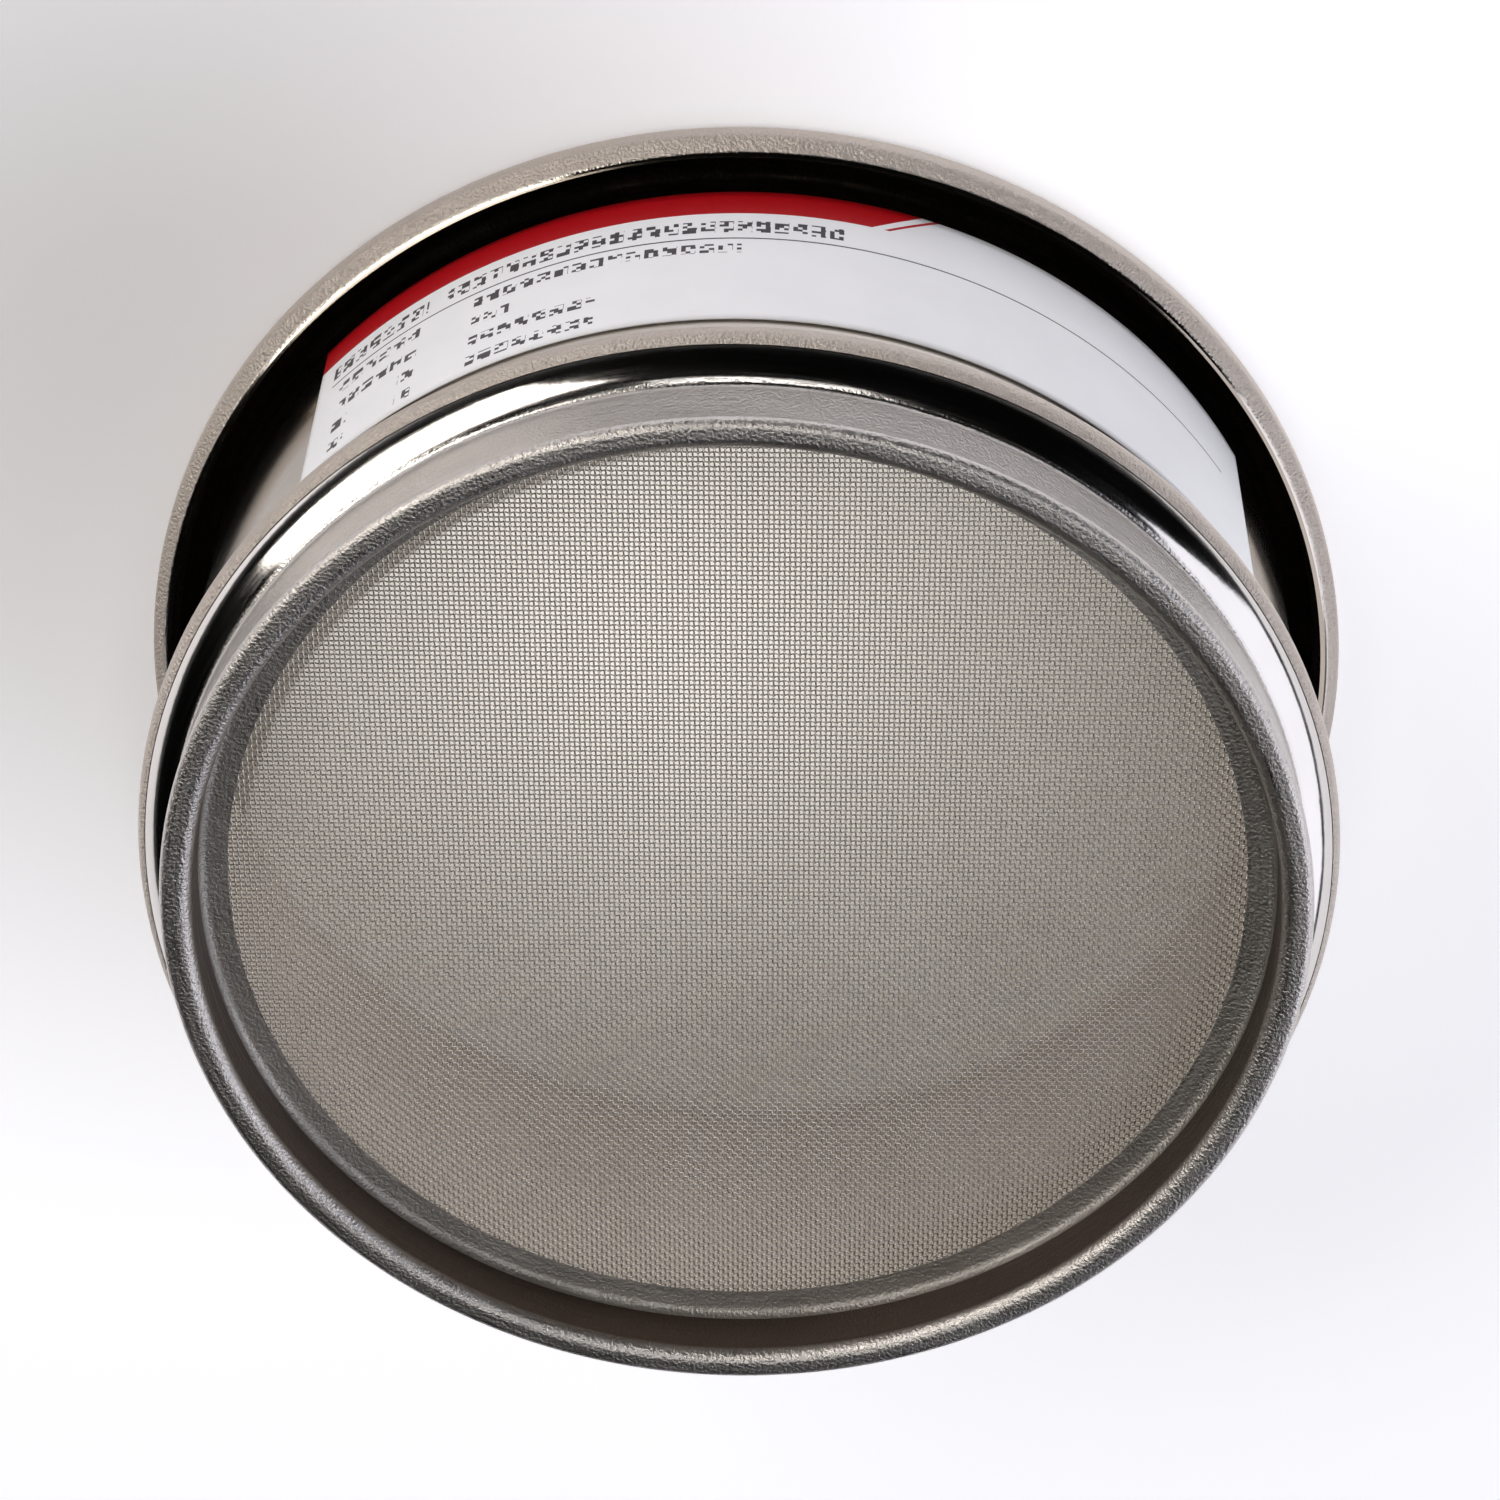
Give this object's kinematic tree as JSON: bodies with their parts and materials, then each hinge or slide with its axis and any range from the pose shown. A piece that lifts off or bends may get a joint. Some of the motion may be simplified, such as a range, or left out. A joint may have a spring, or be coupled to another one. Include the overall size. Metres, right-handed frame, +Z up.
{
  "type": "soil sieve",
  "caption": "Small round steel test sieve: flared, rolled rim above, wire cloth across the foot, and a skirt that nests in the sieve below.",
  "frame": {"origin": "centre of the circle that the skirt's lip rests on", "axes": "+Z up along the sieve's axis, from the skirt to the open rim; the label faces -Y, its middle turned 5 degrees towards +X"},
  "size_m": [0.112, 0.112, 0.045],
  "materials": {
    "satin_steel": "satin spun stainless steel",
    "polished_steel": "polished spun stainless steel",
    "solder": "pitted dull tin solder",
    "woven_wire": "bright drawn wire, plain woven",
    "ring_steel": "pressed stainless steel",
    "label_paper": "coated paper with a plain red header band"
  },
  "bodies": {
    "root": {"body_shell": "satin_steel", "skirt_ring": "polished_steel", "solder_seam": "solder", "wire_cloth": "woven_wire", "retaining_ring": "ring_steel", "label": "label_paper"}
  },
  "joints": []
}
